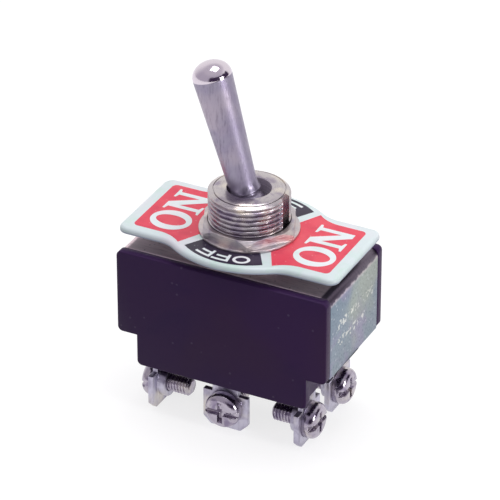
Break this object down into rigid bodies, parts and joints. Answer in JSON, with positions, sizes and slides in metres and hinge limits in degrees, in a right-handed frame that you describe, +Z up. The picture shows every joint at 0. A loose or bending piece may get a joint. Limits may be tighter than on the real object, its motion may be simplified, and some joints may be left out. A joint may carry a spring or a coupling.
{
  "type": "panel toggle switch",
  "caption": "Panel toggle switch with a bat lever, threaded bushing, nuts and washers, printed on-off legend plate, clinched metal cover on a moulded body, and screw terminals below.",
  "frame": {"origin": "on the bushing's axis, in the top face of the cover, which is the face that lies behind the panel", "axes": "+Z up through the bushing, X along the body in the plane that the lever swings in, with the keyway on the +X side and the lever thrown to -X at rest, +Y across the body to its back row of terminals"},
  "size_m": [0.0346, 0.0222, 0.0549],
  "materials": {
    "moulding": "satin moulded",
    "zinc_sheet": "zinc plated, passivated",
    "fibre": "matte fibre sheet",
    "nickel": "bright nickel plated",
    "legend_print": "printed in red and black on white",
    "lever_nickel": "satin nickel plated",
    "steel": "bare",
    "nylon": "natural",
    "copper": "bright",
    "silver": "satin",
    "terminal_plate": "nickel plated",
    "screw_nickel": "bright nickel plated"
  },
  "bodies": {
    "base": {"housing": "moulding", "cover_frame": "zinc_sheet", "insulator": "fibre", "bushing": "nickel", "lock_washer": "zinc_sheet", "rear_nut": "nickel", "legend_plate": "legend_print", "washer": "nickel", "panel_nut": "nickel", "fixed_contacts": "silver", "terminal_front_left": "terminal_plate", "terminal_front_centre": "terminal_plate", "terminal_front_right": "terminal_plate", "terminal_back_left": "terminal_plate", "terminal_back_centre": "terminal_plate", "terminal_back_right": "terminal_plate"},
    "lever": {"lever": "lever_nickel", "pivot_pin": "steel", "actuator": "nylon", "plunger_front": "nylon", "plunger_back": "nylon", "spring_front": "steel", "spring_back": "steel"},
    "rocker_front": {"rocker_front": "copper", "rocker_tips_front": "silver"},
    "rocker_back": {"rocker_back": "copper", "rocker_tips_back": "silver"},
    "screw_front_left": {"screw_front_left": "screw_nickel"},
    "screw_front_centre": {"screw_front_centre": "screw_nickel"},
    "screw_front_right": {"screw_front_right": "screw_nickel"},
    "screw_back_left": {"screw_back_left": "screw_nickel"},
    "screw_back_centre": {"screw_back_centre": "screw_nickel"},
    "screw_back_right": {"screw_back_right": "screw_nickel"}
  },
  "joints": [
    {"name": "lever_tilt", "type": "hinge", "parent": "base", "child": "lever", "pos_m": [0, 0, 0.0066], "axis": [0, 1, 0], "range_deg": [0, 32.8]},
    {"name": "rocker_front_tilt", "type": "hinge", "parent": "base", "child": "rocker_front", "pos_m": [0, -0.0051, -0.0132], "axis": [0, 1, 0], "range_deg": [-15, 0]},
    {"name": "rocker_back_tilt", "type": "hinge", "parent": "base", "child": "rocker_back", "pos_m": [0, 0.0051, -0.0132], "axis": [0, 1, 0], "range_deg": [-15, 0]},
    {"name": "screw_front_left_travel", "type": "slide", "parent": "base", "child": "screw_front_left", "axis": [-1, 0, 0], "range_m": [0, 0.002]},
    {"name": "screw_front_centre_travel", "type": "slide", "parent": "base", "child": "screw_front_centre", "axis": [0, -1, 0], "range_m": [0, 0.002]},
    {"name": "screw_front_right_travel", "type": "slide", "parent": "base", "child": "screw_front_right", "axis": [1, 0, 0], "range_m": [0, 0.002]},
    {"name": "screw_back_left_travel", "type": "slide", "parent": "base", "child": "screw_back_left", "axis": [-1, 0, 0], "range_m": [0, 0.002]},
    {"name": "screw_back_centre_travel", "type": "slide", "parent": "base", "child": "screw_back_centre", "axis": [0, 1, 0], "range_m": [0, 0.002]},
    {"name": "screw_back_right_travel", "type": "slide", "parent": "base", "child": "screw_back_right", "axis": [1, 0, 0], "range_m": [0, 0.002]}
  ],
  "couplings": [
    {"joint": "rocker_front_tilt", "follows": "lever_tilt", "ratio": -0.45732},
    {"joint": "rocker_back_tilt", "follows": "lever_tilt", "ratio": -0.45732}
  ]
}
